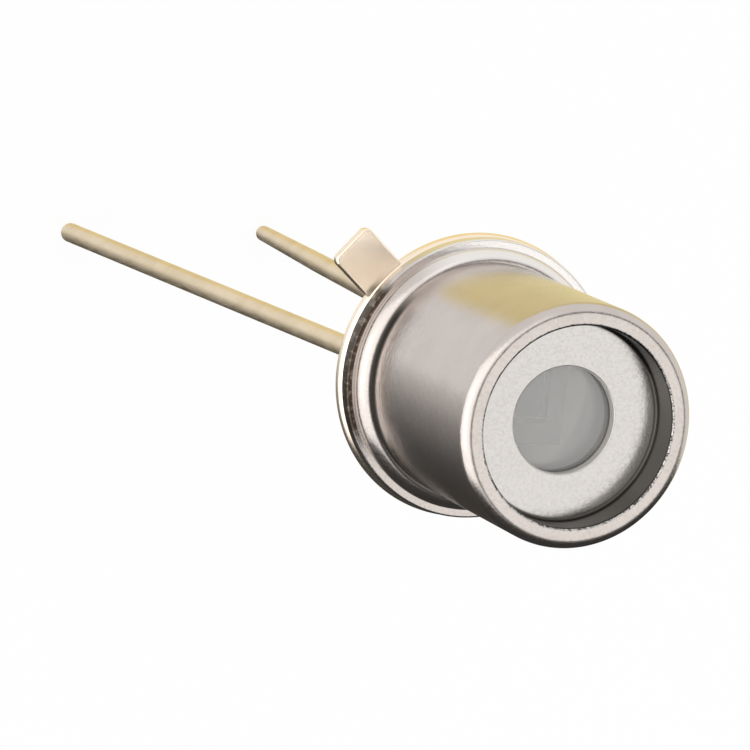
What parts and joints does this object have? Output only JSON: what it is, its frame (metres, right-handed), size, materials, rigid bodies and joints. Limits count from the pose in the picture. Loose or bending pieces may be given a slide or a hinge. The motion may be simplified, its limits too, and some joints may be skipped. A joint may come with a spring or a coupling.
{
  "type": "uv photodiode",
  "caption": "Ultraviolet photodiode in a small metal can: a window in a recessed cap, a welded flange with a locating tab, and long wire leads through a glass-sealed header.",
  "frame": {"origin": "centre of the header's underside, on the seating plane", "axes": "+Z along the can's axis, out of the window; +X from the axis to the anode lead; the leads point down -Z"},
  "size_m": [0.0061, 0.0055, 0.0196],
  "materials": {
    "gold_plating": "satin gold plating",
    "nickel_plating": "satin nickel plating",
    "window_glass": "polished",
    "seal_glass": "fused glass solder",
    "header_glass": "fused dark glass",
    "carrier_ceramic": "matte with a metallised face",
    "solder": "satin",
    "chip_semiconductor": "polished with a coated face"
  },
  "bodies": {
    "root": {"header": "gold_plating", "glass_seal": "header_glass", "anode_lead": "gold_plating", "cathode_lead": "gold_plating", "cap": "nickel_plating", "window": "window_glass", "window_seal": "seal_glass", "carrier_solder": "solder", "carrier": "carrier_ceramic", "chip_solder": "solder", "chip": "chip_semiconductor", "anode_wire": "gold_plating", "cathode_wire": "gold_plating"}
  },
  "joints": []
}
